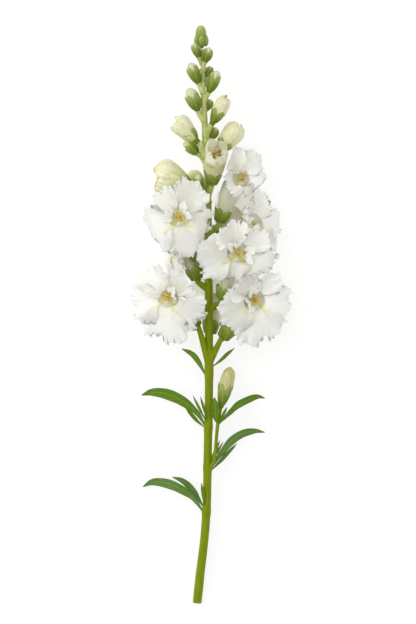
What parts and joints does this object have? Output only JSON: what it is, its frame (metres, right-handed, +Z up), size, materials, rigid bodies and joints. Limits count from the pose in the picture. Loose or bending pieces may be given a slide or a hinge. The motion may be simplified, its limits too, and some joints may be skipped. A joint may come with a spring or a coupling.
{
  "type": "snapdragon stem",
  "caption": "Cut snapdragon stem lying down: green stem with leaves and a side shoot, ruffled white open florets round its upper half and closed buds towards the tip.",
  "frame": {"origin": "middle of the box's underside, on the surface that the stem lies on", "axes": "+Y along the stem towards the bud tip, +X to the right seen from above with the tip away from the viewer, +Z up from the surface"},
  "size_m": [0.111, 0.3953, 0.0636],
  "materials": {
    "stem_green": "fresh green stem, finely hairy",
    "leaf_green": "soft satin leaf",
    "sepal_green": "soft satin sepal",
    "bud_green": "soft matt closed petals",
    "petal_white": "soft matt petal",
    "anther_gold": "powdery anther"
  },
  "bodies": {
    "root": {"bud_01_petals": "bud_green", "bud_02_petals": "bud_green", "bud_03_petals": "bud_green", "bud_04_petals": "bud_green", "bud_05_petals": "bud_green", "bud_06_petals": "bud_green", "bud_07_petals": "bud_green", "bud_08_petals": "bud_green", "bud_09_petals": "bud_green", "bud_10_petals": "bud_green", "bud_11_petals": "bud_green", "bud_12_petals": "bud_green", "bud_13_petals": "bud_green", "bud_14_petals": "bud_green", "bud_15_petals": "bud_green", "bud_16_petals": "bud_green", "floret_front_top_petals": "petal_white", "floret_front_top_sepals": "sepal_green", "floret_front_top_stamens": "anther_gold", "floret_left_front_petals": "petal_white", "floret_left_front_sepals": "sepal_green", "floret_left_front_stamens": "anther_gold", "floret_left_low_petals": "petal_white", "floret_left_low_sepals": "sepal_green", "floret_left_low_stamens": "anther_gold", "floret_left_rear_petals": "petal_white", "floret_left_rear_sepals": "sepal_green", "floret_right_front_petals": "petal_white", "floret_right_front_sepals": "sepal_green", "floret_right_front_stamens": "anther_gold", "floret_right_low_petals": "petal_white", "floret_right_low_sepals": "sepal_green", "floret_right_low_stamens": "anther_gold", "floret_right_rear_petals": "petal_white", "floret_right_rear_sepals": "sepal_green", "floret_right_top_petals": "petal_white", "floret_right_top_sepals": "sepal_green", "floret_right_top_stamens": "anther_gold", "floret_under_left_petals": "petal_white", "floret_under_left_sepals": "sepal_green", "floret_under_low_petals": "petal_white", "floret_under_low_sepals": "sepal_green", "floret_under_right_petals": "petal_white", "floret_under_right_sepals": "sepal_green", "leaf_left_low": "leaf_green", "leaf_left_low_rear": "leaf_green", "leaf_left_middle": "leaf_green", "leaf_left_middle_narrow": "leaf_green", "leaf_left_top": "leaf_green", "leaf_right_low": "leaf_green", "leaf_right_low_narrow": "leaf_green", "leaf_right_top": "leaf_green", "leaf_side_front": "leaf_green", "leaf_side_right": "leaf_green", "side_shoot_bud_petals": "bud_green", "stem": "stem_green", "tip_buds": "bud_green"}
  },
  "joints": []
}
